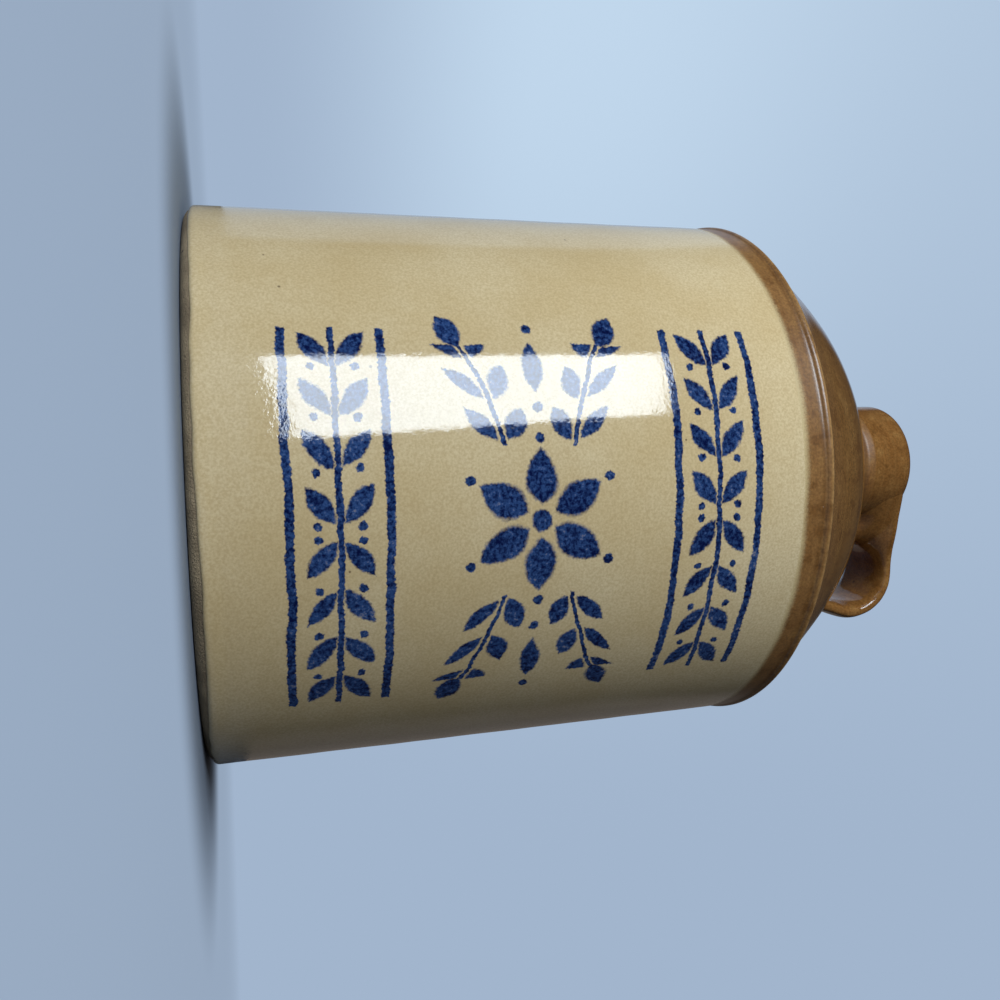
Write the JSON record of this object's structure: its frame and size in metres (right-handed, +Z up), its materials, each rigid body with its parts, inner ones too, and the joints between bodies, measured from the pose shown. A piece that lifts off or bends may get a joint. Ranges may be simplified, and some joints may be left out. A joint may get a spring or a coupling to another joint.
{
  "type": "stoneware jug",
  "caption": "Small cylindrical stoneware jug with a bare clay foot, cream wall, domed brown shoulder, short lipped neck, one-finger strap handle and a tapered cork stopper.",
  "frame": {"origin": "centre of the ring that the jug stands on, on its axis, at the bottom of the foot", "axes": "+Z up the jug's axis to the mouth, +X towards the handle, -Y towards the decorated front"},
  "size_m": [0.1086, 0.1086, 0.1633],
  "materials": {
    "bare_clay": "unglazed fired stoneware, fine sandy grain",
    "cream_glaze": "glossy cream glaze with fine speckle",
    "brown_glaze": "glossy brown glaze, lighter on edges",
    "liner_glaze": "thin dark brown liner glaze",
    "cork": "natural cork"
  },
  "bodies": {
    "jug": {"crock_body": "bare_clay", "shoulder_dome": "bare_clay", "neck_collar": "bare_clay", "strap_handle": "brown_glaze", "cream_glaze": "cream_glaze", "brown_glaze": "brown_glaze", "liner_glaze": "liner_glaze"},
    "stopper": {"cork_stopper": "cork"}
  },
  "joints": [
    {"name": "stopper_lift", "type": "slide", "parent": "jug", "child": "stopper", "axis": [0, 0, 1], "range_m": [0, 0.03]}
  ]
}
